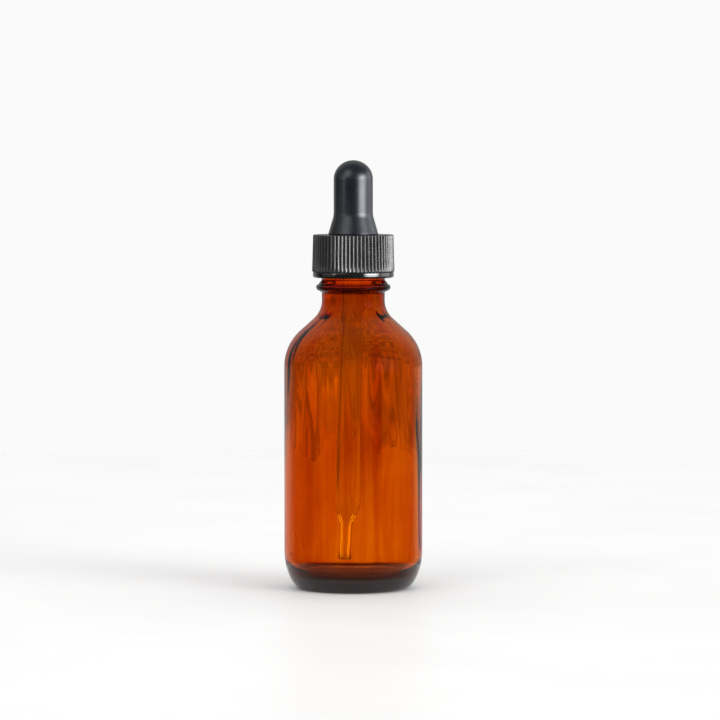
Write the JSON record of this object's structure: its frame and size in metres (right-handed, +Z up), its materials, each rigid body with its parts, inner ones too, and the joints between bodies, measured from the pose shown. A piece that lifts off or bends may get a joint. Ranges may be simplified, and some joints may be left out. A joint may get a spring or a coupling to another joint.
{
  "type": "dropper bottle",
  "caption": "Amber glass medicine bottle with a ribbed screw cap, a rubber bulb and a glass pipette that lifts out.",
  "frame": {"origin": "centre of the bottle's foot, on the surface it stands on", "axes": "+Z up along the bottle's axis; +X to the right when the pipette leans to the left; -Y towards the viewer"},
  "size_m": [0.0388, 0.0388, 0.1203],
  "materials": {
    "amber_glass": "polished",
    "black_plastic": "satin",
    "black_rubber": "satin",
    "clear_glass": "polished"
  },
  "bodies": {
    "bottle": {"bottle": "amber_glass"},
    "dropper": {"rubber_bulb": "black_rubber", "glass_pipette": "clear_glass"},
    "cap": {"screw_cap": "black_plastic"},
    "left_wall": {"bulb_wall_left": "black_rubber"},
    "right_wall": {"bulb_wall_right": "black_rubber"}
  },
  "joints": [
    {"name": "dropper_lift", "type": "slide", "parent": "bottle", "child": "dropper", "axis": [0, 0, 1], "range_m": [0, 0.09001]},
    {"name": "cap_turn", "type": "hinge", "parent": "dropper", "child": "cap", "pos_m": [0, 0, 0.093], "axis": [0, 0, 1], "range_deg": [0, 10204]},
    {"name": "bulb_squeeze", "type": "slide", "parent": "dropper", "child": "left_wall", "axis": [1, 0, 0], "range_m": [0, 0.0028], "stiffness_N_per_m": 500},
    {"name": "bulb_squeeze_far_side", "type": "slide", "parent": "dropper", "child": "right_wall", "axis": [-1, 0, 0], "range_m": [0, 0.0028]}
  ],
  "couplings": [
    {"joint": "dropper_lift", "follows": "cap_turn", "m_per_rad": 0.00050532},
    {"joint": "bulb_squeeze_far_side", "follows": "bulb_squeeze", "ratio": 1}
  ]
}
